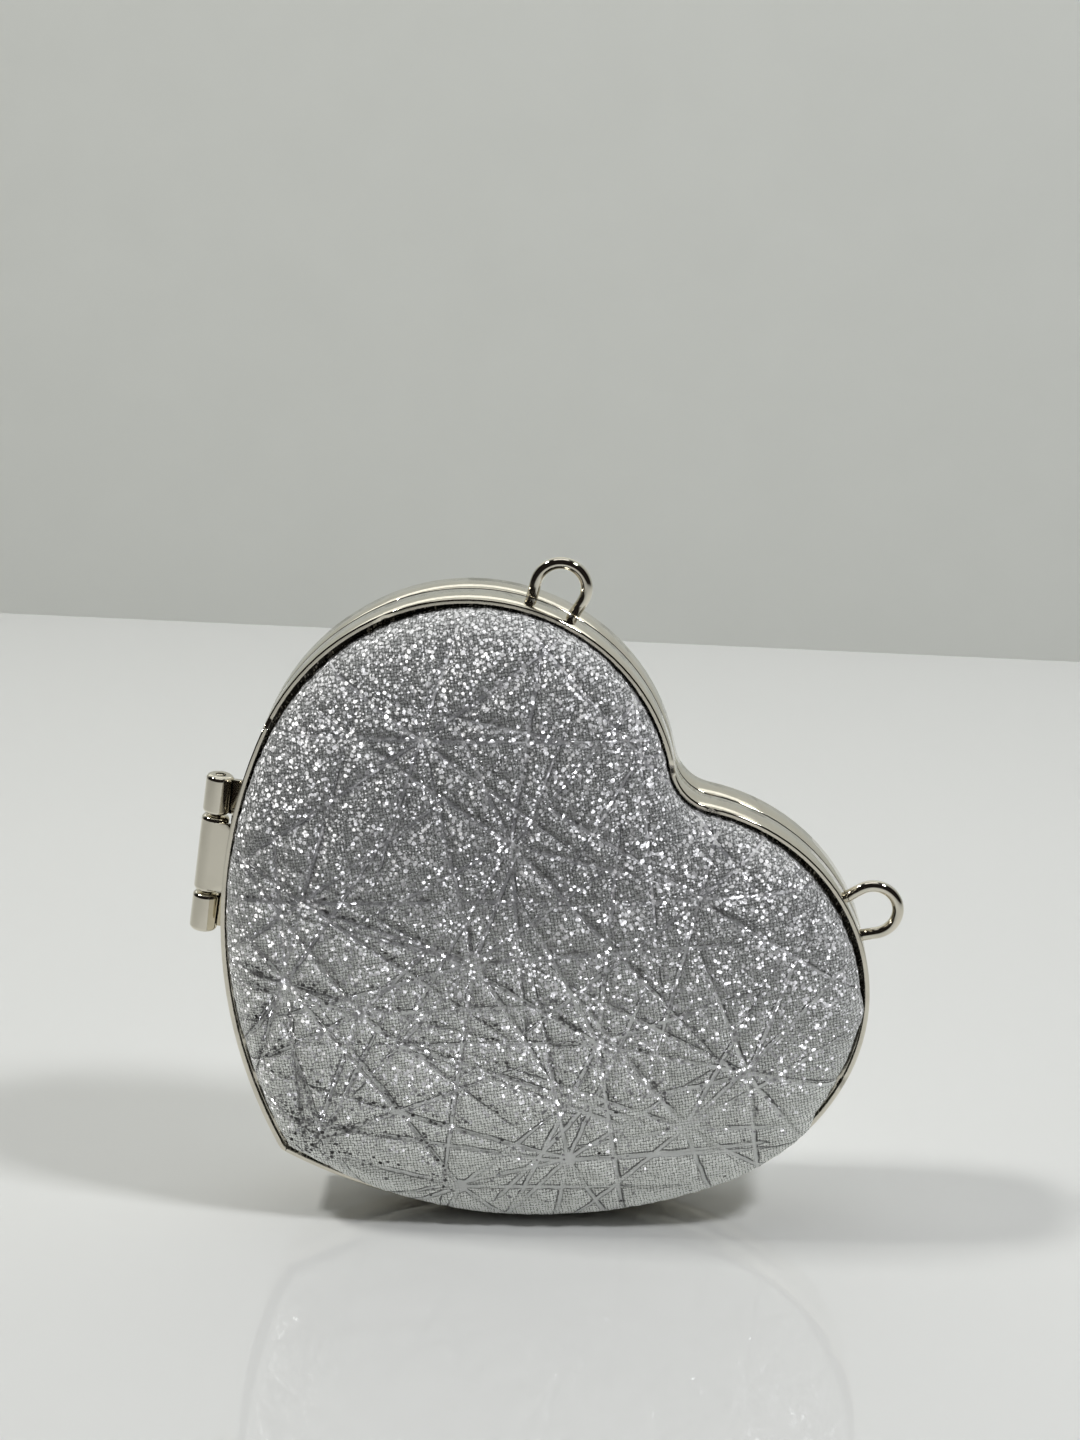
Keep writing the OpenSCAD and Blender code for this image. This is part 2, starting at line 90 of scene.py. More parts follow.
# %% Put the camera where the photograph was taken
camera_data = bpy.data.cameras.new("camera")
camera_data.lens = 75
camera_data.sensor_width = 36
camera_data.clip_start = 0.01
camera_data.clip_end = 20
camera = bpy.data.objects.new("camera", camera_data)
bpy.context.scene.collection.objects.link(camera)
bpy.context.scene.camera = camera
to_right = Vector((0.9991, 0.04249, 0)).normalized()
to_purse = Vector((-0.04054, 0.95325, -0.29945)).normalized()
upward = to_right.cross(to_purse).normalized()
camera.matrix_world = Matrix.Translation((0.02152, -0.52776, 0.26263)) @ Matrix(
    (to_right, upward, -to_purse)
).transposed().to_4x4()
bpy.context.scene.view_settings.view_transform = "Standard"
print("camera looks down by", round(math.degrees(math.asin(-to_purse.z)), 1), "degrees")

# %% [markdown]
# ## How a shader is wired here
# A material is a small network of nodes. These helpers keep the later cells short: each adds one
# kind of node, fills in its inputs and gives back its output. Groups have named sockets, so that
# several materials can share them.

# %% Helpers for node networks
def connect(tree, socket, value):
    """Links a socket to another node's output, or sets it. A colour is given as three numbers."""
    if isinstance(value, bpy.types.NodeSocket):
        tree.links.new(value, socket)
    elif socket.type == "RGBA":
        socket.default_value = (*value, 1)
    else:
        socket.default_value = value


def set_inputs(tree, made, **inputs):
    """Sets or links a node's inputs by name, with _ for a blank."""
    for name, value in inputs.items():
        connect(tree, made.inputs[name.replace("_", " ")], value)


def add_node(tree, kind, *values, settings=None, **inputs):
    """Adds a node with its settings. values fill its inputs in order, the others go by name."""
    made = tree.nodes.new(kind)
    for name, value in (settings or {}).items():
        setattr(made, name, value)
    for socket, value in zip(made.inputs, values):
        connect(tree, socket, value)
    set_inputs(tree, made, **inputs)
    return made


def maths(tree, operation, *values):
    """One Math node; values are numbers or outputs."""
    return add_node(tree, "ShaderNodeMath", *values, settings={"operation": operation}).outputs[0]


def plus(tree, first, second):
    return maths(tree, "ADD", first, second)


def minus(tree, first, second):
    return maths(tree, "SUBTRACT", first, second)


def times(tree, first, second):
    return maths(tree, "MULTIPLY", first, second)


def vector_maths(tree, operation, *values):
    """One Vector Math node. A dot product gives a number, any other operation a vector."""
    made = add_node(tree, "ShaderNodeVectorMath", *values, settings={"operation": operation})
    return made.outputs[1 if operation == "DOT_PRODUCT" else 0]


def parts_of(tree, vector):
    """A vector's X, Y and Z."""
    return list(add_node(tree, "ShaderNodeSeparateXYZ", vector).outputs)


def fade(tree, value, low, high, start=0.0, end=1.0):
    """A smooth step from start to end as the value goes from low to high."""
    return add_node(tree, "ShaderNodeMapRange", value, low, high, start, end,
                    settings={"interpolation_type": "SMOOTHSTEP"}).outputs["Result"]


def blend(tree, share, first, second, kind="MIX", data="RGBA"):
    """Mixes two colours by a share, or two numbers where data is FLOAT."""
    made = add_node(tree, "ShaderNodeMix", settings={"data_type": data, "blend_type": kind})
    at, result = (6, 2) if data == "RGBA" else (2, 0)
    for key, given in ((0, share), (at, first), (at + 1, second)):
        connect(tree, made.inputs[key], given)
    return made.outputs[result]


def noise(tree, place, scale, detail, **others):
    """A noise texture's outputs: Fac is one number and Color holds three."""
    return add_node(tree, "ShaderNodeTexNoise", Vector=place, Scale=scale, Detail=detail,
                    **others).outputs


def bump(tree, height, strength=1.0, distance=MM):
    """The normal that a height gives."""
    return add_node(tree, "ShaderNodeBump", Strength=strength, Distance=distance,
                    Height=height).outputs[0]


def new_group(name, inputs, outputs):
    """A shader group. A socket called Place, Flat or Tilt holds a vector, any other a number."""
    tree = bpy.data.node_groups.new(name, "ShaderNodeTree")
    for in_out, labels in (("INPUT", inputs), ("OUTPUT", outputs)):
        for label in labels:
            kind = "Vector" if label in ("Place", "Flat", "Tilt") else "Float"
            tree.interface.new_socket(label, in_out=in_out, socket_type="NodeSocket" + kind)
    return tree, tree.nodes.new("NodeGroupInput").outputs, tree.nodes.new("NodeGroupOutput")


def use_group(tree, group, **inputs):
    """Places a group in a material with its own values. Returns its outputs."""
    return add_node(tree, "ShaderNodeGroup", settings={"node_tree": group}, **inputs).outputs


def new_material(name):
    """A plain material. Returns it with its tree and its Principled shader."""
    material = bpy.data.materials.new(name)
    material.use_nodes = True
    tree = material.node_tree
    return material, tree, next(n for n in tree.nodes if n.type == "BSDF_PRINCIPLED")


def object_place(tree):
    """The point on the piece, in metres, as its own mesh holds it."""
    return tree.nodes.new("ShaderNodeTexCoord").outputs["Object"]

# %% [markdown]
# ## Table, wall and light
# The purse stands on a white lacquered table in front of a pale wall. The table's far edge runs
# slightly downhill to the right in the picture, so the wall stands on that line. Both are staging
# and don't belong to the purse. The wall can be looked through from behind.

# %% Build the table and the wall
def flat_stage(name, corners, material):
    """A flat four-cornered surface that belongs to the staging."""
    bm = bmesh.new()
    bm.faces.new([bm.verts.new(c) for c in corners])
    mesh = bpy.data.meshes.new(name)
    bm.to_mesh(mesh)
    bm.free()
    mesh.materials.append(material)
    made = bpy.data.objects.new(name, mesh)
    bpy.context.scene.collection.objects.link(made)


lacquer, tree, shader = new_material("white_lacquer")
cloudy = noise(tree, object_place(tree), 3.0, 3.0)["Fac"]
set_inputs(tree, shader, Roughness=fade(tree, cloudy, 0.3, 0.7, 0.02, 0.04),
           Base_Color=blend(tree, cloudy, (0.77, 0.775, 0.77), (0.81, 0.815, 0.81)))
wall_paint, tree, shader = new_material("wall_paint")
mottle = noise(tree, object_place(tree), 40.0, 4.0)["Fac"]
from_behind = tree.nodes.new("ShaderNodeNewGeometry").outputs["Backfacing"]
set_inputs(tree, shader, Roughness=0.9, Alpha=minus(tree, 1.0, from_behind),
           Base_Color=blend(tree, mottle, (0.77, 0.785, 0.75), (0.81, 0.825, 0.79)))

# Two points on the table's far edge, from the photograph
edge_left = Vector((-0.19698, 0.41844, 0))
edge_right = Vector((0.15148, 0.37570, 0))
TABLE_REACH, TABLE_DEPTH, WALL_HEIGHT = 2.5, 1.05, 2.4
along = (edge_right - edge_left).normalized()
far_left, far_right = edge_left - along * TABLE_REACH, edge_right + along * TABLE_REACH
near = along.cross(Vector((0, 0, 1))) * TABLE_DEPTH
rise = Vector((0, 0, WALL_HEIGHT))
flat_stage("table", [far_left, far_left + near, far_right + near, far_right], lacquer)
flat_stage("wall", [far_right, far_right + rise, far_left + rise, far_left], wall_paint)
print("table edge is", round(edge_left.y / MM), "mm behind the purse")

# %% [markdown]
# Two small soft lamps stand high on the left and the right, and give the two shadows on the table.
# A panel overhead fills in the purse's top, and another lights the wall. The image of a low strip
# behind the purse is the bright line along the band. The room behind the camera is dim, so the
# loops turn dark. Past the stage a camera sees plain grey, so that no other view ends in black.

# %% Hang the lights
# Place, aim and size in metres, watts and colour
LIGHTS = {
    "left_key": ((-0.62, 0.02, 1.0), (0, 0, 0.04), (0.14, 0.14), 4.8, (1.0, 1.0, 0.96)),
    "right_key": ((0.6, -0.28, 0.95), (0, 0, 0.04), (0.14, 0.14), 5.3, (0.98, 0.99, 1.0)),
    "top_panel": ((0.0, 0.1, 1.05), (0, 0.0, 0), (0.6, 0.3), 0.6, (1.0, 1.0, 0.99)),
    "wall_panel": ((0.0, -0.2, 1.6), (0, 0.45, 0.7), (1.0, 0.4), 1.15, (1.0, 1.0, 0.97)),
    "low_strip": ((-0.05, 0.35, 0.33), (-0.05, 0, 0.1), (0.6, 0.08), 0.13, (1.0, 1.0, 0.98)),
}
for name, (place, aim, size, power, colour) in LIGHTS.items():
    data = bpy.data.lights.new(name, "AREA")
    data.shape = "RECTANGLE"
    data.size, data.size_y = size
    data.energy = power
    data.color = colour
    lamp = bpy.data.objects.new(name, data)
    lamp.location = place
    lamp.rotation_euler = (Vector(aim) - Vector(place)).to_track_quat("-Z", "Y").to_euler()
    lamp.visible_camera = False
    bpy.context.scene.collection.objects.link(lamp)

room = bpy.data.worlds.new("room")
bpy.context.scene.world = room
room.use_nodes = True
tree = room.node_tree
looked_at = tree.nodes.new("ShaderNodeLightPath").outputs["Is Camera Ray"]
set_inputs(tree, next(n for n in tree.nodes if n.type == "BACKGROUND"), Strength=1.0,
           Color=blend(tree, looked_at, (0.014, 0.012, 0.011), (0.44, 0.45, 0.43)))
print(len(LIGHTS), "lights")

# %% [markdown]
# ## The heart's outline
# The frame is bent from round arcs: a tight tip, two long sides, a lobe and a crown on each side
# and a small round notch. Offsetting such an outline inwards only changes the arcs' radii, so one
# function gives it at any inset. The numbers are the CAD model's, in millimetres, with the heart
# lying flat and its tip downwards.

# %% Draw the outline at any inset
def along_turn(degrees):
    return np.array([math.cos(math.radians(degrees)), math.sin(math.radians(degrees))])


HEART_W, LOBE_R, SIDE_R, CROWN_R, TIP_R, NOTCH_R = 130, 43.9, 97.1, 38.3, 3.0, 8.7
SIDE_TURN, CROWN_TURN, LEAST_TIP_R = -21.3, 20.0, 0.75
# Steps along each arc, which put the points 0.4 mm apart
ARC_STEPS, OUTLINE_PITCH = (12, 212, 79, 172, 27), 0.4
lobe_c = np.array([HEART_W / 2 - LOBE_R, 0.0])
side_c = lobe_c - (SIDE_R - LOBE_R) * along_turn(SIDE_TURN)
crown_c = lobe_c - (CROWN_R - LOBE_R) * along_turn(CROWN_TURN)
notch_c = np.array([0, crown_c[1] + math.sqrt((CROWN_R + NOTCH_R) ** 2 - crown_c[0] ** 2)])
notch_turn = math.degrees(math.atan2(notch_c[1] - crown_c[1], -crown_c[0]))


def arc(centre, radius, start, end, steps):
    """Points along an arc without its last one."""
    turns = np.radians(np.linspace(start, end, steps, endpoint=False))
    return centre + radius * np.stack([np.cos(turns), np.sin(turns)], axis=1)


def outline(inset, fineness=1.0):
    """The heart drawn an inset inside the frame's outer face, anticlockwise from the tip."""
    tip_r = max(TIP_R - inset, LEAST_TIP_R)
    tip_c = np.array([0, side_c[1] - math.sqrt((SIDE_R - inset - tip_r) ** 2 - side_c[0] ** 2)])
    tip_turn = math.degrees(math.atan2(tip_c[1] - side_c[1], tip_c[0] - side_c[0]))
    steps = [max(2, round(n * fineness)) for n in ARC_STEPS]
    right = np.concatenate([
        arc(tip_c, tip_r, -90, tip_turn, steps[0]),
        arc(side_c, SIDE_R - inset, tip_turn, SIDE_TURN, steps[1]),
        arc(lobe_c, LOBE_R - inset, SIDE_TURN, CROWN_TURN, steps[2]),
        arc(crown_c, CROWN_R - inset, CROWN_TURN, notch_turn, steps[3]),
        arc(notch_c, NOTCH_R + inset, notch_turn - 180, -90, steps[4]),
        [notch_c - [0, NOTCH_R + inset]],
    ])
    left = right[-2:0:-1] * [-1, 1]
    return np.concatenate([right, left])


rim = outline(0)
rim_next = np.roll(rim, -1, axis=0)
rim_len = np.linalg.norm(rim_next - rim, axis=1)
print("outline:", len(rim), "points,", round(rim_len.sum(), 1), "mm round")

# %% [markdown]
# The flat heart stands up on one long side. The same turn and shift place every piece that is
# made from the flat drawing. A back piece is the front one mirrored through the seam.

# %% Stand the flat heart up
REST_TURN = math.radians(46.45)
REST_COS, REST_SIN = math.cos(REST_TURN), math.sin(REST_TURN)
STAND_SHIFT = np.array([3.0643, 0, 63.1540])
heart_across = np.array([REST_COS, 0, -REST_SIN])
heart_upward = np.array([REST_SIN, 0, REST_COS])
out_of_seam = np.array([0, -1, 0])


def stand_up(flat, back=False):
    """Flat drawing points in mm to standing points in metres."""
    depth = flat[:, 2:3] * (-1 if back else 1) * out_of_seam
    placed = flat[:, 0:1] * heart_across + flat[:, 1:2] * heart_upward + depth
    return (placed + STAND_SHIFT) * MM


tip = np.array([[0, rim[0, 1], 0]])
print("tip stands at", np.round(stand_up(tip) / MM, 1), "mm")

# %% [markdown]
# ## Polished metal
# The frame, hinge and loops are steel with a bright pale nickel plating. Plating is never a
# perfect mirror: fingers leave faint smears, handling leaves fine scratches, and the bent band is
# a little wavy. One group gives all of that as two masks and a height, and each metal uses it with
# its own strength.

# %% The group for worn plating
t, inside, out = new_group("plating_wear", ["Place", "Smear size", "Scratch size"],
                           ["Smear", "Scratch", "Height"])
plating_wear = t
smear = noise(t, inside["Place"], inside["Smear size"], 5.0, Roughness=0.6, Distortion=0.8)
stretched = add_node(t, "ShaderNodeMapping", Vector=inside["Place"], Rotation=(0.3, 0.5, 0.9),
                     Scale=(1, 14, 1))
scratch = noise(t, stretched.outputs[0], inside["Scratch size"], 2.0, Roughness=0.7)
scratch_line = fade(t, scratch["Fac"], 0.62, 0.7)
wave = noise(t, inside["Place"], 55.0, 1.0)
set_inputs(t, out, Smear=fade(t, smear["Fac"], 0.42, 0.7), Scratch=scratch_line,
           Height=minus(t, times(t, wave["Fac"], 0.10), times(t, scratch_line, 0.004)))
print("the wear group has", len(t.nodes), "nodes")

# %% [markdown]
# The frame and its fittings share one nickel, and the catch is of duller steel. The thin seam
# where the halves meet is darkened with painted shade for its narrow gap, with some dirt, and the
# band swells a little between seam and lip. The swell is half a millimetre, so a bump is enough to
# bend the reflections and the CAD shape stays as it is.

# %% Nickel plating and the catch's steels
def plated_metal(name, bright, smeared, smooth, dull, wave_mm, seam=0.0, swell=0.0):
    """A metal with two tones and two roughnesses, mixed by the smears and scratches. seam is how
    dark the painted shade of the seam gap, with some dirt, is within 0.3 mm of the plane where
    the halves meet, less so on the faces that touch there. swell is how many mm a band bulges
    between the seam and its lip."""
    material, tree, shader = new_material(name)
    place = object_place(tree)
    wear = use_group(tree, plating_wear, Place=place, Smear_size=90.0, Scratch_size=260.0)
    depth = maths(tree, "ABSOLUTE", parts_of(tree, place)[1])
    facing = tree.nodes.new("ShaderNodeTexCoord").outputs["Normal"]
    facing = maths(tree, "ABSOLUTE", parts_of(tree, facing)[1])
    # painted shade in the narrow seam gap, with some dirt: the colour darkens within 0.3 mm of the
    # seam
    seam_shade_and_dirt = times(tree, fade(tree, depth, 0.16 * MM, 0.34 * MM, seam, 0.0),
                 fade(tree, facing, 0.9, 0.98, 1.0, 0.25))
    # From -1 at the seam to 1 at the lip
    from_middle = maths(tree, "MULTIPLY_ADD", depth, 0.26 / MM, -1.03)
    bulge = times(tree, times(tree, from_middle, from_middle), -swell)
    rough = fade(tree, wear["Smear"], 0.0, 1.0, smooth, dull)
    set_inputs(tree, shader, Metallic=1.0,
               Base_Color=blend(tree, seam_shade_and_dirt, blend(tree, wear["Smear"], bright, smeared),
                                (0.03, 0.02, 0.03)),
               Roughness=plus(tree, rough, times(tree, wear["Scratch"], 0.08)),
               Normal=bump(tree, maths(tree, "MULTIPLY_ADD", wear["Height"], wave_mm, bulge)))
    return material


NICKEL = (0.76, 0.72, 0.62), (0.69, 0.65, 0.555), 0.05, 0.13, 1.0
nickel = plated_metal("pale_nickel", *NICKEL)
frame_nickel = plated_metal("frame_nickel", *NICKEL, seam=0.9, swell=0.55)
catch_steel = plated_metal("catch_steel", (0.62, 0.61, 0.59), (0.55, 0.54, 0.52), 0.24, 0.38, 0.8)
spring_steel = plated_metal("spring_steel", (0.46, 0.46, 0.50), (0.38, 0.37, 0.40), 0.28, 0.42, 0.6)

# %% [markdown]
# A CAD mesh comes as loose flat triangles, and a mirror finish would show each of them. A merged
# copy keeps the exact shape. Its faces are shaded smooth except where they meet at a real edge,
# and weighted normals keep the broad faces flat next to their rounded edges. The catch's bow
# spring has its ends on the tray's back wall, and the button's bar pushes it flat by 1 mm.

# %% Smooth copies of the metal nodes
METAL_EDGE = math.radians(32)


def finish_piece(name, bm, material, slot, body, node, metal=False):
    """Turns a bmesh into an object that rides and stands for its node. slot is not used."""
    mesh = bpy.data.meshes.new(name)
    bm.to_mesh(mesh)
    bm.free()
    mesh.shade_smooth()
    mesh.materials.append(material)
    piece = bpy.data.objects.new(name, mesh)
    bpy.context.scene.collection.objects.link(piece)
    if metal:
        mesh.set_sharp_from_angle(angle=METAL_EDGE)
        flatter = piece.modifiers.new("weighted normals", "WEIGHTED_NORMAL")
        flatter.mode = "FACE_AREA_WITH_ANGLE"
        flatter.keep_sharp = True
    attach(piece, body)
    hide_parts(node)
    print(name, "-", len(mesh.vertices), "points,", len(mesh.polygons), "faces")
    return piece


def smooth_copy(node, material, slot):
    """A merged, smooth-shaded copy of a CAD node, with a finish of its own."""
    source = frame["nodes"][node]
    bm = bmesh.new()
    bm.from_mesh(source.data)
    bm.transform(source.matrix_world)
    bmesh.ops.remove_doubles(bm, verts=bm.verts, dist=1e-6)
    bmesh.ops.dissolve_degenerate(bm, edges=bm.edges, dist=1e-7)
    return finish_piece(node + "_polished", bm, material, slot, body_of(source)[0], node,
                        metal=True)


for node in ("front_frame", "back_frame"):
    smooth_copy(node, frame_nickel, "nickel")
for node in ("hinge_back_leaf", "hinge_front_leaf", "hinge_pin", "strap_loop_upper",
             "strap_loop_side", "push_button"):
    smooth_copy(node, nickel, "nickel")
for node in ("catch_housing", "catch_plate", "catch_screws", "catch_hook"):
    smooth_copy(node, catch_steel, "catch_steel")
spring = smooth_copy("catch_spring", spring_steel, "spring_steel")
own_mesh(spring)

# %% [markdown]
# ## Welded lines in the cloth
# The glitter cloth is a sandwich that was pressed while hot along straight lines, which burst out
# of many star points and cross each other. Between the lines the cloth stays puffy. A line has to
# be crisp when seen close, so it is worked out in the shader, for every point, as the distance to
# the nearest ray. The mesh uses the same formula to puff the cells up.

# %% Star points and the rays that leave them
# Each star: place across and upward on the heart, number of rays, reach, radius of its dot, all
# in mm, and a number that shuffles its rays.
STARS = [
    (-4.9, -16.6, 9, 62, 1.9, 0.11), (-25.2, -45.4, 8, 52, 0.9, 0.37),
    (-12.0, -39.3, 7, 44, 0.7, 0.71), (22.2, -10.8, 9, 58, 1.0, 0.59),
    (-34.6, -31.8, 8, 56, 0.6, 0.83), (-17.1, 4.4, 9, 60, 0.6, 0.47),
    (35.7, -31.3, 9, 50, 1.3, 0.05), (45.7, -10.7, 9, 44, 1.2, 0.93),
    (26.5, -50.6, 7, 40, 1.1, 0.65), (1.8, -62.7, 7, 38, 1.1, 0.19),
    (-12.8, 32.4, 8, 50, 0.4, 0.41), (-42.3, 6.0, 8, 54, 0.4, 0.77),
    (14.2, 22.1, 8, 50, 0.4, 0.87), (45.7, 5.2, 7, 40, 0.5, 0.31),
]
# Long lines that pass through several stars: from and to
LONG_LINES = [
    ((-23.3, -44.6), (-2.1, -37.4)), ((-2.1, -37.4), (38.0, -16.4)),
    ((-2.6, -38.9), (36.0, -19.6)), ((-4.8, -64.4), (34.5, -33.2)),
    ((34.5, -33.2), (58.0, -3.0)), ((-34.6, -32.3), (-5.7, -16.9)),
    ((33.1, -46.4), (29.4, -17.1)), ((45.7, -10.7), (43.0, 30.4)),
]
FAR_OFF = 50.0
# How the rays' turns and lengths are shuffled
RAY_SPREAD, LENGTH_SPREAD, LENGTH_SHUFFLE, JITTER, LEAST_SHARE = 0.7548777, 0.5698403, 1.7, 0.8, 0.35
# A ray thins out past this share of its length, by this much a mm, and a long line past its end
FULL_SHARE, RAY_TAPER, LINE_TAPER = 0.7, 0.03, 0.3


def middle_and_way(start, end):
    """A long line's middle, its direction and half its length."""
    half = np.subtract(end, start) / 2
    length = np.linalg.norm(half)
    return np.add(start, end) / 2, half / length, length


def line_distance(flat):
    """Distance in mm from flat points to the nearest welded line."""
    nearest = np.full(len(flat), FAR_OFF)
    for x, y, rays, reach, dot, shuffle in STARS:
        dx, dy = flat[:, 0] - x, flat[:, 1] - y
        radius = np.hypot(dx, dy)
        turn = np.arctan2(dy, dx) * rays / math.tau
        whole = np.floor(turn + 0.5)
        ray = np.mod(whole, rays)
        jitter = JITTER * (np.mod(ray * RAY_SPREAD + shuffle, 1) - 0.5)
        length = reach * (LEAST_SHARE + (1 - LEAST_SHARE)
                          * np.mod(ray * LENGTH_SPREAD + LENGTH_SHUFFLE * shuffle, 1))
        off = (turn - whole - jitter) * math.tau / rays
        past = np.maximum(radius - FULL_SHARE * length, 0)
        distance = np.abs(radius * np.sin(off)) + RAY_TAPER * past
        nearest = np.minimum(nearest, np.minimum(distance, np.maximum(radius - dot, 0)))
    for start, end in LONG_LINES:
        middle, way, length = middle_and_way(start, end)
        rel = flat[:, :2] - middle
        off = np.abs(rel @ np.array([-way[1], way[0]]))
        past = np.maximum(np.abs(rel @ way) - length, 0)
        nearest = np.minimum(nearest, off + LINE_TAPER * past)
    return nearest


print(len(STARS), "stars with", sum(s[2] for s in STARS), "rays")

# %% [markdown]
# The same sum as shader groups: one turns a point into the flat drawing's millimetres, one gives
# the distance to a star's nearest ray, and one the distance to a long line. The last two also say
# on which side of its line the point lies, because the painted shade of a pressed line lies only
# along its upper edge, which the overhead lamps leave in shadow.

# %% Groups for the welded lines
t, inside, out = new_group("flat_place", ["Place"], ["Flat"])
flat_place = t
moved = vector_maths(t, "SUBTRACT", inside["Place"], tuple(STAND_SHIFT * MM))
parts = [vector_maths(t, "DOT_PRODUCT", moved, tuple(direction / MM))
         for direction in (heart_across, heart_upward, out_of_seam)]
set_inputs(t, out, Flat=add_node(t, "ShaderNodeCombineXYZ", *parts).outputs[0])


def line_group(name, *own):
    """Starts the group for one kind of line, which has inputs of its own. Returns its tree, its
    input and output nodes and how far the point is across and upward from the line's middle."""
    labels = ["Across", "Upward", "Middle across", "Middle upward", "Nearest", "Side so far", *own]
    tree, inside, out = new_group(name, labels, ["Distance", "Side"])
    dx = minus(tree, inside["Across"], inside["Middle across"])
    dy = minus(tree, inside["Upward"], inside["Middle upward"])
    return tree, inside, out, dx, dy


def keep_nearest(tree, inside, out, off, past, taper, uphill, dot=FAR_OFF):
    """Ends such a group: off is how far to the left of the line the point is, past how far past
    its end, uphill positive for a line whose left side faces up, and dot the distance to a dot."""
    distance = maths(tree, "MULTIPLY_ADD", maths(tree, "MAXIMUM", past, 0.0), taper,
                     maths(tree, "ABSOLUTE", off))
    closer = maths(tree, "LESS_THAN", distance, inside["Nearest"])
    upper_side = times(tree, off, maths(tree, "SIGN", uphill))
    set_inputs(tree, out, Distance=maths(tree, "MINIMUM", inside["Nearest"],
                                         maths(tree, "MINIMUM", distance, dot)),
               Side=blend(tree, closer, inside["Side so far"], upper_side, data="FLOAT"))


t, inside, out, dx, dy = line_group("star_rays", "Rays", "Reach", "Dot", "Shuffle")
star_rays = t
radius = maths(t, "SQRT", plus(t, times(t, dx, dx), times(t, dy, dy)))
turn = maths(t, "DIVIDE", times(t, maths(t, "ARCTAN2", dy, dx), inside["Rays"]), math.tau)
whole = maths(t, "FLOOR", plus(t, turn, 0.5))
ray = maths(t, "FLOORED_MODULO", whole, inside["Rays"])
shuffled = maths(t, "FLOORED_MODULO",
                 maths(t, "MULTIPLY_ADD", ray, RAY_SPREAD, inside["Shuffle"]), 1.0)
jitter = times(t, minus(t, shuffled, 0.5), JITTER)
longer = maths(t, "FLOORED_MODULO", plus(
    t, times(t, ray, LENGTH_SPREAD), times(t, inside["Shuffle"], LENGTH_SHUFFLE)), 1.0)
length = times(t, inside["Reach"],
               maths(t, "MULTIPLY_ADD", longer, 1 - LEAST_SHARE, LEAST_SHARE))
off = maths(t, "DIVIDE", times(t, minus(t, minus(t, turn, whole), jitter), math.tau),
            inside["Rays"])
ray_turn = maths(t, "MULTIPLY_ADD", maths(t, "DIVIDE", plus(t, whole, jitter), inside["Rays"]),
                 math.tau, -REST_TURN)
keep_nearest(t, inside, out, times(t, radius, maths(t, "SINE", off)),
             maths(t, "MULTIPLY_ADD", length, -FULL_SHARE, radius), RAY_TAPER,
             maths(t, "COSINE", ray_turn),
             maths(t, "MAXIMUM", minus(t, radius, inside["Dot"]), 0.0))

t, inside, out, dx, dy = line_group("long_line", "Way across", "Way upward", "Half length")
long_line = t
way_across, way_upward = inside["Way across"], inside["Way upward"]
forward = maths(t, "ABSOLUTE", plus(t, times(t, dx, way_across), times(t, dy, way_upward)))
keep_nearest(t, inside, out, minus(t, times(t, dy, way_across), times(t, dx, way_upward)),
             minus(t, forward, inside["Half length"]), LINE_TAPER,
             plus(t, times(t, way_across, REST_COS), times(t, way_upward, REST_SIN)))

# %% [markdown]
# ## Weave and glitter
# Under the glitter is a fine plain weave, threads about 0.6 mm apart, running at a slant. The
# glitter itself is tiny flat flakes glued on at random. Each flake lies at its own slight tilt, so
# in any one direction only some of them flash. Both are groups, because the lining is woven too.

# %% Groups for the weave and the flakes
t, inside, out = new_group("weave", ["Flat", "Thread", "Turn"], ["Height", "Over"])
weave = t
turned = add_node(t, "ShaderNodeVectorRotate", settings={"rotation_type": "Z_AXIS"},
                  Vector=inside["Flat"], Angle=inside["Turn"]).outputs[0]
ups = [maths(t, "SINE", times(t, maths(t, "DIVIDE", part, inside["Thread"]), math.pi))
       for part in parts_of(t, turned)[:2]]
over = maths(t, "GREATER_THAN", times(t, *ups), 0.0)
warp, weft = [maths(t, "ABSOLUTE", up) for up in ups]
set_inputs(t, out, Over=over,
           Height=plus(t, times(t, warp, over), times(t, weft, minus(t, 1.0, over))))

t, inside, out = new_group("flakes", ["Flat", "Size", "Amount"], ["Mask", "Tilt"])
flakes = t
cells = add_node(t, "ShaderNodeTexVoronoi", settings={"feature": "F1"}, Vector=inside["Flat"],
                 Scale=maths(t, "DIVIDE", 1.0, inside["Size"]), Randomness=1.0).outputs
red, green, blue = add_node(t, "ShaderNodeSeparateColor", cells["Color"]).outputs
spot_r = maths(t, "MULTIPLY_ADD", blue, 0.18, 0.30)
round_spot = fade(t, minus(t, cells["Distance"], spot_r), -0.04, 0.08, 1.0, 0.0)
# Red chooses the flake, so its first lean comes from Red's later digits
later_digits = maths(t, "FRACT", times(t, red, 40.0))
leans = add_node(t, "ShaderNodeCombineXYZ", later_digits, green, blue).outputs[0]
set_inputs(t, out, Mask=times(t, maths(t, "LESS_THAN", red, inside["Amount"]), round_spot),
           Tilt=vector_maths(t, "SUBTRACT", leans, (0.5, 0.5, 0.5)))

# %% [markdown]
# The cloth puts these together. A little wandering keeps the lines from looking ruled. The height
# is pressed down in the lines and carries the weave between them. Low down the ground and the lines
# are painted pale, as light thrown up by the white table, and the lines' upper edges carry painted
# shade. The flakes are painted thick towards the lobes and the hinge, where they catch the lamps,
# and thin near the side that the purse stands on.

# %% Glitter cloth: where the lines are
WANDER = 0.7
glitter_cloth, tree, shader = new_material("glitter_cloth")
place = use_group(tree, flat_place, Place=object_place(tree))["Flat"]
wandering = vector_maths(tree, "MULTIPLY_ADD", noise(tree, place, 0.35, 2.0)["Color"],
                         (WANDER,) * 3, place)
across, raised, off_seam = parts_of(tree, wandering)
off_seam = maths(tree, "ABSOLUTE", off_seam)
found = {"Distance": FAR_OFF, "Side": 1.0}


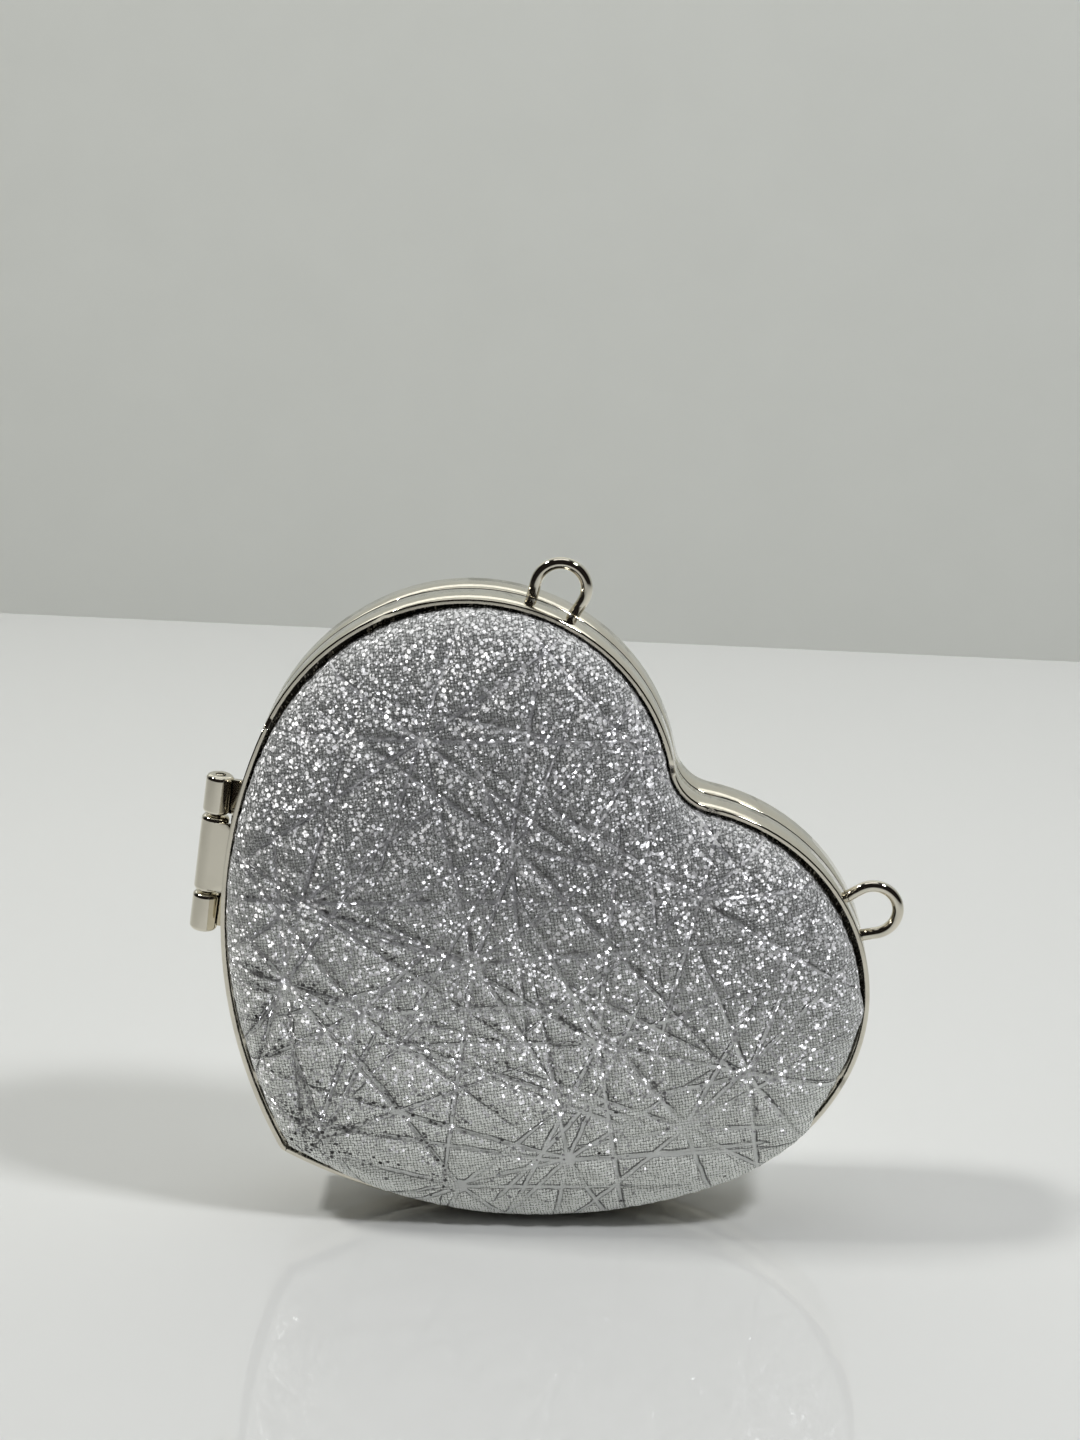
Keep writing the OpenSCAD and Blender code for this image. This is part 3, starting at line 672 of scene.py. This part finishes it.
def next_line(group, middle, **own):
    """Adds one star or long line to those that the nearest is found among."""
    return use_group(tree, group, Across=across, Upward=raised,
                     Middle_across=middle[0] + WANDER / 2, Middle_upward=middle[1] + WANDER / 2,
                     Nearest=found["Distance"], Side_so_far=found["Side"], **own)


for x, y, rays, reach, dot, shuffle in STARS:
    found = next_line(star_rays, (x, y), Rays=rays, Reach=reach, Dot=dot, Shuffle=shuffle)
for start, end in LONG_LINES:
    middle, way, length = middle_and_way(start, end)
    found = next_line(long_line, middle, Way_across=way[0], Way_upward=way[1], Half_length=length)
nearest = found["Distance"]
firm = fade(tree, noise(tree, place, 0.16, 3.0)["Fac"], 0.36, 0.56, 0.25, 1.0)
pressed = times(tree, fade(tree, nearest, 0.26, 0.50, 1.0, 0.0), firm)
# painted shade along the edges of the pressed lines, where the puffed cloth beside them shadows them
line_edge_shade = times(tree, times(tree, fade(tree, nearest, 0.36, 0.46),
                           fade(tree, nearest, 0.62, 0.86, 1.0, 0.0)), firm)
upper_line_shade = times(tree, line_edge_shade, fade(tree, found["Side"], -0.1, 0.1))
by_line = fade(tree, nearest, 0.2, 1.1, 1.0, 0.0)

# %% [markdown]
# The flakes' amount fades from the lobes down to the long side that the purse stands on: a painted
# highlight, since up there more flakes catch the overhead lamps. Soft noise breaks that border into
# patches. A painted mask could do the same, but a formula stays sharp from close by and needs no
# picture.

# %% Glitter cloth: where the flakes are thick
# Between these distances from the seam the cloth comes out of the frame, in mm
BURIED, SHOWN = 7.8, 9.4
standing = vector_maths(tree, "DOT_PRODUCT", wandering, (-REST_SIN, REST_COS, 0))
towards_hinge = vector_maths(tree, "DOT_PRODUCT", wandering, (-REST_COS, -REST_SIN, 0))
patch = minus(tree, noise(tree, place, 0.07, 4.0, Roughness=0.6)["Fac"], 0.5)
sideways = times(tree, towards_hinge, 0.2)
upper = fade(tree, maths(tree, "MULTIPLY_ADD", patch, 45.0, plus(tree, standing, sideways)),
             -57.0, -16.0)
hinge_side = times(tree, fade(tree, standing, -58.0, -38.0, 0.0, 0.9), fade(
    tree, maths(tree, "MULTIPLY_ADD", patch, 25.0, towards_hinge), 22.0, 46.0))
# painted glint density: flakes are thick high up and towards the hinge, where the lamps catch them
painted_glint_density = maths(tree, "MAXIMUM", upper, hinge_side)
clumps = noise(tree, place, 0.28, 3.0)
amount = times(tree, fade(tree, painted_glint_density, 0.0, 1.0, 0.012, 0.76),
               fade(tree, clumps["Fac"], 0.35, 0.62, 0.55, 1.2))
amount = plus(tree, amount, times(tree, by_line, times(tree, painted_glint_density, 0.55)))
amount = times(tree, amount, fade(tree, off_seam, BURIED, SHOWN))
glints = use_group(tree, flakes, Flat=place, Size=0.84, Amount=amount)
dust = use_group(tree, flakes, Flat=place, Size=0.46,
                 Amount=maths(tree, "MULTIPLY_ADD", painted_glint_density, 0.32, 0.12))["Mask"]

# %% [markdown]
# A flake is a small mirror: its normal leans by its own tilt and a little towards the lamps, so
# that the cloth sparkles as in the photograph. Real flakes, a hundred thousand of them, would be
# far too heavy.

# %% Glitter cloth: colours and finish
bent = vector_maths(tree, "MULTIPLY_ADD", clumps["Color"], (0.9, 0.9, 0.9), place)
threads = use_group(tree, weave, Flat=bent, Thread=0.58, Turn=0.62)["Height"]
# painted light: the ground is far paler towards the long side the purse stands on, for the light
# that the white table throws up onto it
ground = blend(tree, fade(tree, minus(tree, standing, sideways), -52.0, 16.0),
               (0.85, 0.87, 0.835), (0.285, 0.289, 0.291))
speckle = noise(tree, place, 1.7, 3.0, Roughness=0.75)["Fac"]
# the weave's tone: random speckle plus painted shade, darker between the threads and lighter on
# their crowns
tone = maths(tree, "MULTIPLY_ADD", minus(tree, speckle, 0.5), 3.0,
             fade(tree, threads, 0.15, 0.9, 0.36, 1.62))
# painted shade: the weave darkens where the cloth dips into the gap by the frame
tone = times(tree, maths(tree, "MAXIMUM", tone, 0.25),
             fade(tree, off_seam, BURIED, SHOWN, 0.1, 1.0))
woven = blend(tree, 1.0, ground, tone, "MULTIPLY")
# the pressed lines are painted pale low down as well: the same painted light from the table below
line_level = fade(tree, maths(tree, "MULTIPLY_ADD", patch, 30.0, standing), -24.0, 6.0)
lined = blend(tree, pressed, woven,
              blend(tree, line_level, (0.92, 0.94, 0.92), (0.33, 0.33, 0.35)))
# the painted shade of the lines' upper edges goes in nearly black, strongly low down and faintly
# high up
shaded = blend(tree, times(tree, upper_line_shade, fade(tree, line_level, 0.0, 1.0, 0.85, 0.3)),
               lined, (0.035, 0.035, 0.038))
dusted = blend(tree, times(tree, dust, 0.5), shaded, (0.80, 0.80, 0.82))
streak = times(tree, times(tree, fade(tree, nearest, 0.10, 0.30, 1.0, 0.0),
                           fade(tree, clumps["Fac"], 0.44, 0.56)), painted_glint_density)
flashing = maths(tree, "MAXIMUM", glints["Mask"],
                 times(tree, dust, fade(tree, painted_glint_density, 0.05, 0.6, 0.0, 0.7)))
flashing = maths(tree, "MAXIMUM", flashing, times(tree, streak, 0.7))
relief = plus(tree, times(tree, pressed, -0.24),
              times(tree, times(tree, threads, minus(tree, 1.0, pressed)), 0.10))
leaning = vector_maths(tree, "MULTIPLY_ADD", glints["Tilt"], times(tree, flashing, 2.0),
                       bump(tree, relief))
towards_lamps = vector_maths(tree, "MULTIPLY_ADD", (0.0, -0.6, 1.7), flashing, leaning)
plain_rough = fade(tree, pressed, 0.0, 1.0, 0.62, 0.42)
set_inputs(tree, shader, Base_Color=blend(tree, flashing, dusted, (0.97, 0.965, 0.99)),
           Metallic=times(tree, flashing, 0.6),
           Roughness=maths(tree, "MULTIPLY_ADD", flashing, -0.17, plain_rough),
           Normal=vector_maths(tree, "NORMALIZE", towards_lamps))
print("the glitter cloth has", len(tree.nodes), "nodes")

# %% [markdown]
# ## The padded panels
# Each panel is a moulded board with wadding on it and the cloth drawn tight over both. It rises
# straight out of the frame, turns over a round shoulder and swells to a low dome. A skin starts
# as one ring of points on the outline that is extruded ring by ring up the wall and over the
# shoulder. A grid fills the middle, and the gap between them is closed with triangles. Then every
# point is lifted to its height, so the dome stays smooth where rings would bunch up.

# %% Heights of the panel
# All in mm. The walls stand on the seat and end at the side height, where the shoulder begins
PANEL_IN, SEAT_Z, SIDE_Z = 1.4, 5.8, 10.1
SHOULDER_RISE, SHOULDER_W, DOME_RISE = 3.2, 4.2, 3.9
CLOTH_T, PAD_SIDE_T, PAD_T, SHELL_T = 0.4, 0.8, 2.0, 1.3
LAYER_IN = np.cumsum([0, CLOTH_T, PAD_SIDE_T, SHELL_T, CLOTH_T])
LAYER_DROP = np.cumsum([0, CLOTH_T, PAD_T, SHELL_T, CLOTH_T])
SOFT_MOST, SHIFT_FADE = 27.0, 5.0
AT_ONCE = 3000
rim_mid = (rim + rim_next) / 2
rim_way = (rim_next - rim) / rim_len[:, None]
rim_normal = np.stack([-rim_way[:, 1], rim_way[:, 0]], axis=1)
rim_share = (np.cumsum(rim_len) - rim_len / 2) / rim_len.sum()


def depth_inside(flat):
    """For flat points: true distance in from the outline, a soft one without ridges, and the
    share of the way round the outline where they lie."""
    near_d, soft_d, share = [], [], []
    for i in range(0, len(flat), AT_ONCE):
        rel = flat[i:i + AT_ONCE, None, :2] - rim_mid[None]
        far = np.einsum("ijk,ijk->ij", rel, rel)
        best = far.argmin(axis=1)
        rows = np.arange(len(best))
        near_d.append(np.einsum("ij,ij->i", rel[rows, best], rim_normal[best]))
        soft_d.append(np.sqrt(2 / np.sum(rim_len / np.maximum(far, 0.09) ** 1.5, axis=1)))
        share.append(rim_share[best])
    return np.concatenate(near_d), np.concatenate(soft_d), np.concatenate(share)


def dome_height(soft):
    """How much the dome adds at a soft distance from the outline."""
    return DOME_RISE * (1 - (1 - np.clip(soft / SOFT_MOST, 0, 1)) ** 2)


def panel_height(layer, inset, soft, shift, drop):
    """Height of one layer's surface above the seam plane. shift is how far its wall stands in
    from its true place, and drop how much lower its shoulder is pulled."""
    true_reach = inset - PANEL_IN - LAYER_IN[layer]
    reach = (true_reach - shift) / (1 - shift / SHIFT_FADE)
    reach = np.maximum(np.where(reach < SHIFT_FADE, reach, true_reach), 0)
    shoulder = np.minimum(reach / SHOULDER_W, 1)
    return (SIDE_Z - LAYER_DROP[layer] + SHOULDER_RISE * np.sqrt(1 - (1 - shoulder) ** 2)
            + dome_height(soft) - drop * np.exp(-reach / SHIFT_FADE))


# %% [markdown]
# A modifier on a coarse cage would blur the shoulder, so each skin is built at the pitch that it
# needs: fine where the cloth shows its lines, coarse where nothing is seen.

# %% Build one skin of a panel
# The lengths in mm that the wall's steps, the shoulder's arc and the band of rings inside it have
WALL_STEP, SHOULDER_ARC, BAND = 1.6, 5.8, 2.4
GRID_HALF, GRID_DOWN = 68, -11


def no_edge(share):
    """A wall and a shoulder in their true places."""
    return np.zeros(len(share)), np.zeros(len(share))


def points_of(bm):
    return np.array([v.co[:] for v in bm.verts])


def lift(bm, heights):
    for v, up in zip(bm.verts, heights):
        v.co.z += up


def panel_skin(layer, pitch, edge, foot_z):
    """A bmesh of one layer's surface, lying flat in mm, open at its foot. edge gives, for shares
    of the way round, how far the wall stands in and how much lower the shoulder is."""
    fineness = OUTLINE_PITCH / pitch
    base = PANEL_IN + LAYER_IN[layer]
    wall_top = SIDE_Z - LAYER_DROP[layer]
    wall_steps = max(2, round((wall_top - foot_z) / (WALL_STEP * pitch)))
    rings = [(base, z) for z in np.linspace(foot_z, wall_top, wall_steps, endpoint=False)]
    turns = np.linspace(0, math.pi / 2, max(4, round(SHOULDER_ARC / pitch)))
    rings += [(base + SHOULDER_W * (1 - math.cos(a)), wall_top + SHOULDER_RISE * math.sin(a))
              for a in turns]
    rings += [(base + SHOULDER_W + pitch * k, None) for k in range(1, max(2, round(BAND / pitch)))]
    foot = outline(base, fineness)
    shift = edge(depth_inside(foot)[2])[0]
    bm = bmesh.new()
    bmesh.ops.create_circle(bm, cap_ends=False, segments=len(foot), radius=1)
    ring_edges, ring = list(bm.edges), list(bm.verts)
    rows = []
    for k, (inset, z) in enumerate(rings):
        if k:
            made = bmesh.ops.extrude_edge_only(bm, edges=ring_edges)["geom"]
            fresh = {g for g in made if isinstance(g, bmesh.types.BMVert)}
            ring_edges = [g for g in made if isinstance(g, bmesh.types.BMEdge)
                          and fresh.issuperset(g.verts)]
            partner = {e.other_vert(v): v for v in fresh for e in v.link_edges}
            ring = [partner[v] for v in ring]
        fading = max(0, 1 - (inset - base) / SHIFT_FADE)
        points = outline(inset, fineness)
        inward = np.roll(points, -1, axis=0) - np.roll(points, 1, axis=0)
        inward = np.stack([-inward[:, 1], inward[:, 0]], axis=1)
        inward /= np.linalg.norm(inward, axis=1)[:, None]
        points = points + inward * (shift * fading)[:, None]
        for v, p in zip(ring, points):
            v.co = (p[0], p[1], 0)
        rows.append((ring, z))
    fill_middle(bm, ring, ring_edges, pitch)
    bm.verts.ensure_lookup_table()
    set_heights(bm, layer, rows, edge)
    bmesh.ops.recalc_face_normals(bm, faces=bm.faces)
    if sum(f.normal.z for f in bm.faces) < 0:
        bmesh.ops.reverse_faces(bm, faces=bm.faces)
    return bm


def fill_middle(bm, ring, ring_edges, pitch):
    """A square grid inside the last ring, joined to it with triangles."""
    cells = int(2 * GRID_HALF / pitch)
    before = set(bm.verts)
    bmesh.ops.create_grid(bm, x_segments=cells, y_segments=cells, size=GRID_HALF)
    grid = [v for v in bm.verts if v not in before]
    bmesh.ops.translate(bm, verts=grid, vec=(0, GRID_DOWN, 0))
    border = np.array([v.co[:2] for v in ring])
    places = np.array([v.co[:2] for v in grid])
    keep = inside_ring(places, border, pitch * 0.75)
    bmesh.ops.delete(bm, geom=[v for v, k in zip(grid, keep) if not k], context="VERTS")
    loose = [v for v in bm.verts if v not in before and len(v.link_faces) < 2]
    bmesh.ops.delete(bm, geom=loose, context="VERTS")
    grid_edges = [e for e in bm.edges if e.is_boundary and e.verts[0] not in before]
    bmesh.ops.triangle_fill(bm, edges=ring_edges + grid_edges, use_beauty=True,
                            use_dissolve=False, normal=(0, 0, 1))


def inside_ring(places, border, gap):
    """True for places inside a closed ring of points, at least a gap from it."""
    kept = np.zeros(len(places), bool)
    border_next = np.roll(border, -1, axis=0)
    step = border_next - border
    for i in range(0, len(places), AT_ONCE):
        p = places[i:i + AT_ONCE, None]
        rel = p - border[None]
        crosses = (border[None, :, 1] > p[..., 1]) != (border_next[None, :, 1] > p[..., 1])
        with np.errstate(divide="ignore", invalid="ignore"):
            at = border[None, :, 0] + rel[..., 1] / step[None, :, 1] * step[None, :, 0]
        odd = np.sum(crosses & (p[..., 0] < at), axis=1) % 2 == 1
        kept[i:i + AT_ONCE] = odd & (np.einsum("ijk,ijk->ij", rel, rel).min(axis=1) > gap ** 2)
    return kept


def set_heights(bm, layer, rows, edge):
    """Lifts every point of a flat skin to its layer's height."""
    inset, soft, share = depth_inside(points_of(bm))
    shift, drop = edge(share)
    heights = panel_height(layer, inset, soft, shift, drop)
    walls = {v.index: z for ring, z in rows if z is not None for v in ring}
    index = np.fromiter(walls, int)
    ring_z = np.fromiter(walls.values(), float)
    climbed = np.clip((ring_z - SEAT_Z) / (SIDE_Z - LAYER_DROP[layer] - SEAT_Z), 0, 1)
    past = np.maximum(inset[index] - PANEL_IN - LAYER_IN[layer] - shift[index], 0)
    heights[index] = ring_z + climbed * (dome_height(soft[index])
                                         - drop[index] * np.exp(-past / SHIFT_FADE))
    lift(bm, heights)


def make_layer(side, name, node, finish, foot, outer, inner):
    """A closed layer between two of a panel's surfaces, whose feet are bridged, foot mm above the
    seat. Each surface is its layer, its pitch, its edge and what may shape it further."""
    skins = []
    for layer, pitch, edge, shape in (outer, inner):
        bm = panel_skin(layer, pitch, edge, SEAT_Z + foot)
        if shape:
            shape(bm)
        skins.append(bm)
    bm, inner = skins
    bmesh.ops.reverse_faces(inner, faces=inner.faces)
    mesh = bpy.data.meshes.new("inner_face")
    inner.to_mesh(mesh)
    inner.free()
    bm.from_mesh(mesh)
    bpy.data.meshes.remove(mesh)
    bmesh.ops.bridge_loops(bm, edges=[e for e in bm.edges if e.is_boundary])
    for v, place in zip(bm.verts, stand_up(points_of(bm), back=side == "back")):
        v.co = place
    bmesh.ops.recalc_face_normals(bm, faces=bm.faces)
    return finish_piece(side + name, bm, *finish, side + "_half", side + node)

# %% [markdown]
# The cloth isn't cut to a perfect heart, so the dark gap between it and the frame opens and
# closes along the edge. Its width was read off the photograph at marks round the outline. The
# cloth's inner face is a coarser skin, one cloth's thickness lower, bridged to the outer one at
# the foot, so that the piece is closed.

# %% Make the cover of each panel
# Share of the way round from the tip, the cloth wall's inset and its shoulder's drop in mm
CLOTH_EDGE = np.array([
    (0, 2.3, 2.7), (.02, 2.1, 2.3), (.05, 1.5, 1.3), (.10, 1.2, .8), (.25, 1.2, .8),
    (.272, 1.0, .5), (.28, 1.0, .3), (.288, 1.9, 1.8), (.31, 2.15, 2.6), (.335, 1.9, 2.2),
    (.348, 1.1, .8), (.362, 1.9, 2.0), (.40, 2.15, 2.5), (.44, 1.9, 2.0), (.47, 1.6, 1.4),
    (.503, 1.3, .8), (.55, 1.4, .8), (.60, 1.3, .6), (.64, 1.5, .8), (.67, 1.9, 1.6),
    (.70, 2.15, 2.4), (.74, 2.15, 2.4), (.77, 1.8, 1.6), (.80, 1.4, 1.0), (.86, 1.4, .8),
    (.90, 1.7, 1.3), (.94, 2.1, 2.2), (.985, 2.2, 2.5), (1, 2.3, 2.7)])
LEAST_INSET = 0.96
COVER_PITCH = 0.42


def cloth_edge(share):
    """The cover's edge round the outline, slightly ragged."""
    turn = share * math.tau
    ragged = (0.06 * np.sin(turn * 61 + 3 * np.sin(turn * 23))
              + 0.05 * np.sin(turn * 103 + 2 * np.sin(turn * 37)))
    wall = np.interp(share, CLOTH_EDGE[:, 0], CLOTH_EDGE[:, 1])
    drop = np.interp(share, CLOTH_EDGE[:, 0], CLOTH_EDGE[:, 2])
    return np.maximum(wall + ragged, LEAST_INSET) - PANEL_IN, drop


def wadding_edge(share):
    """The wadding keeps inside the cloth, and is squeezed where the cloth is pulled in."""
    shift, drop = cloth_edge(share)
    return np.clip(shift + 0.03, 0, 0.72), drop


PUFF, PUFF_REACH, LINE_DEPTH = 0.55, 1.4, 0.18


def puff_up(bm):
    """Swells the outer face of the cloth between the lines and draws it in along them."""
    flat = points_of(bm)
    puff = PUFF * (1 - np.exp(-(line_distance(flat) / PUFF_REACH) ** 2)) - LINE_DEPTH
    lift(bm, puff * np.clip((depth_inside(flat)[0] - 2.0) / 3.0, 0, 1))


for side in ("front", "back"):
    cover = make_layer(side, "_cover_cloth", "_cover", (glitter_cloth, "glitter_cloth"), 0.02,
                       (0, COVER_PITCH, cloth_edge, puff_up), (1, 2.4, wadding_edge, None))

# %% [markdown]
# ## Wadding and board
# Under the cloth lies a sheet of polyester wadding, which gives the panel its soft swell, glued
# to a moulded fibreboard dome. Nobody sees either in the closed purse, but a cut model shows them.
# Both are the same kind of skin as the cloth, each with its two faces, so that all layers lie on
# one another without a gap.

# %% Wadding material and pieces
wadding, tree, shader = new_material("wadding")
place = object_place(tree)
fluff = noise(tree, place, 420.0, 6.0, Roughness=0.75)["Fac"]
tufts = add_node(tree, "ShaderNodeTexVoronoi", Vector=place, Scale=130.0).outputs["Distance"]
set_inputs(tree, shader, Roughness=fade(tree, fluff, 0.3, 0.7, 0.8, 1.0), Sheen_Weight=0.4,
           Base_Color=blend(tree, fluff, (0.70, 0.69, 0.66), (0.92, 0.91, 0.88)),
           Normal=bump(tree, plus(tree, fluff, tufts), 0.8, 0.5 * MM))
for side in ("front", "back"):
    pad = make_layer(side, "_wadding", "_padding", (wadding, "padding"), 0.03,
                     (1, 1.6, wadding_edge, None), (2, 2.4, no_edge, None))

# %% Pressed fibreboard and the two boards
board, tree, shader = new_material("fibreboard")
place = object_place(tree)
fibre = noise(tree, place, 700.0, 5.0, Roughness=0.7)["Fac"]
press = noise(tree, place, 60.0, 2.0)["Fac"]
set_inputs(tree, shader, Roughness=fade(tree, press, 0.3, 0.7, 0.5, 0.7),
           Base_Color=blend(tree, fibre, (0.020, 0.019, 0.020), (0.055, 0.053, 0.055)),
           Normal=bump(tree, fibre, 0.6, 0.2 * MM))
for side in ("front", "back"):
    make_layer(side, "_board", "_shell", (board, "shell"), 0.03,
               (2, 2.4, no_edge, None), (3, 1.2, no_edge, None))

# %% [markdown]
# ## The lining
# A satin cloth, cut as the plain heart, is pushed into the dome of each half and glued. Its edge
# gathers into small puckers and its middle stays slightly slack. The puckers are waves round the
# outline that die out towards the middle.

# %% Satin material and the two linings
satin, tree, shader = new_material("satin_lining")
place = use_group(tree, flat_place, Place=object_place(tree))["Flat"]
threads = use_group(tree, weave, Flat=place, Thread=0.3, Turn=0.0)
creases = noise(tree, place, 0.12, 4.0, Distortion=1.2)["Fac"]
folds = plus(tree, times(tree, threads["Height"], 0.03), times(tree, creases, 0.8))
# the satin is painted darker in the hollows of its creases and lighter on their crests: painted
# shade that follows the noise of their bump
set_inputs(tree, shader, Sheen_Weight=0.5,
           Base_Color=blend(tree, fade(tree, creases, 0.3, 0.7), (0.34, 0.33, 0.355),
                            (0.46, 0.45, 0.48)),
           Roughness=fade(tree, threads["Over"], 0.0, 1.0, 0.32, 0.42),
           Normal=bump(tree, folds, 0.9))


GATHERS, GATHER_DEPTH, SLACK_DEPTH, LEAST_DEPTH = 47, 0.75, 0.35, 0.04


def pucker(bm):
    """Draws a lining's wall and shoulder into small gathers, away from the board."""
    flat = points_of(bm)
    round_way = np.arctan2(flat[:, 1] + 12, flat[:, 0])
    wave = np.sin(round_way * GATHERS + 1.4 * np.sin(round_way * 9)) * 0.5 + 0.5
    slack = np.sin(flat[:, 0] * 0.21 + 2.0 * np.sin(flat[:, 1] * 0.13)) * 0.5 + 0.5
    near_edge = np.exp(-np.maximum(depth_inside(flat)[0] - 5, 0) / 7)
    rising = np.clip((flat[:, 2] - SEAT_Z - 0.5) / 2.0, 0, 1)
    lift(bm, -rising * (LEAST_DEPTH + GATHER_DEPTH * wave * near_edge
                        + SLACK_DEPTH * slack * (1 - near_edge)))


for side in ("front", "back"):
    lining = make_layer(side, "_lining_satin", "_lining", (satin, "lining"), 0.03,
                        (3, 1.2, no_edge, pucker), (4, 1.2, no_edge, pucker))
